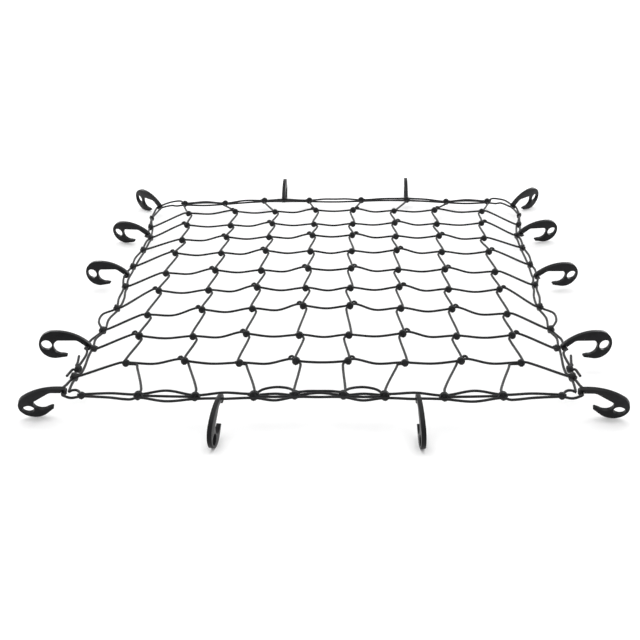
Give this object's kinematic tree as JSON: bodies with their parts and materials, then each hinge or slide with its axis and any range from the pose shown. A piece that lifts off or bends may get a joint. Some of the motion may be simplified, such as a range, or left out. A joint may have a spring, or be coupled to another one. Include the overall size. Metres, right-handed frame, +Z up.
{
  "type": "cargo net",
  "caption": "Elastic cargo net: square knotted mesh of black cord, doubled border cord, and moulded plastic hooks all round for hooking over rails of a load bed.",
  "frame": {"origin": "centre of the bounding box seen from above, on the surface that the net stands on", "axes": "+X to the right seen from the front, +Y from the front border to the back border, +Z up"},
  "size_m": [1.0648, 1.1944, 0.0884],
  "materials": {
    "mesh_cord": "matte",
    "border_cord": "matte",
    "hook_plastic": "satin"
  },
  "bodies": {
    "root": {"border_back_inner": "border_cord", "border_back_outer": "border_cord", "border_back_third_left": "border_cord", "border_back_third_right": "border_cord", "border_front_inner": "border_cord", "border_front_outer": "border_cord", "border_front_third_left": "border_cord", "border_front_third_middle": "border_cord", "border_front_third_right": "border_cord", "border_left_inner": "border_cord", "border_left_outer": "border_cord", "border_right_inner": "border_cord", "border_right_outer": "border_cord", "hook_back_left": "hook_plastic", "hook_back_right": "hook_plastic", "hook_front_left": "hook_plastic", "hook_front_right": "hook_plastic", "hook_left_1": "hook_plastic", "hook_left_2": "hook_plastic", "hook_left_3": "hook_plastic", "hook_left_4": "hook_plastic", "hook_left_5": "hook_plastic", "hook_right_1": "hook_plastic", "hook_right_2": "hook_plastic", "hook_right_3": "hook_plastic", "hook_right_4": "hook_plastic", "hook_right_5": "hook_plastic", "mesh_column_1": "mesh_cord", "mesh_column_2": "mesh_cord", "mesh_column_3": "mesh_cord", "mesh_column_4": "mesh_cord", "mesh_column_5": "mesh_cord", "mesh_column_6": "mesh_cord", "mesh_column_7": "mesh_cord", "mesh_column_8": "mesh_cord", "mesh_row_1": "mesh_cord", "mesh_row_2": "mesh_cord", "mesh_row_3": "mesh_cord", "mesh_row_4": "mesh_cord", "mesh_row_5": "mesh_cord", "mesh_row_6": "mesh_cord", "mesh_row_7": "mesh_cord", "mesh_row_8": "mesh_cord", "mesh_row_9": "mesh_cord"}
  },
  "joints": []
}
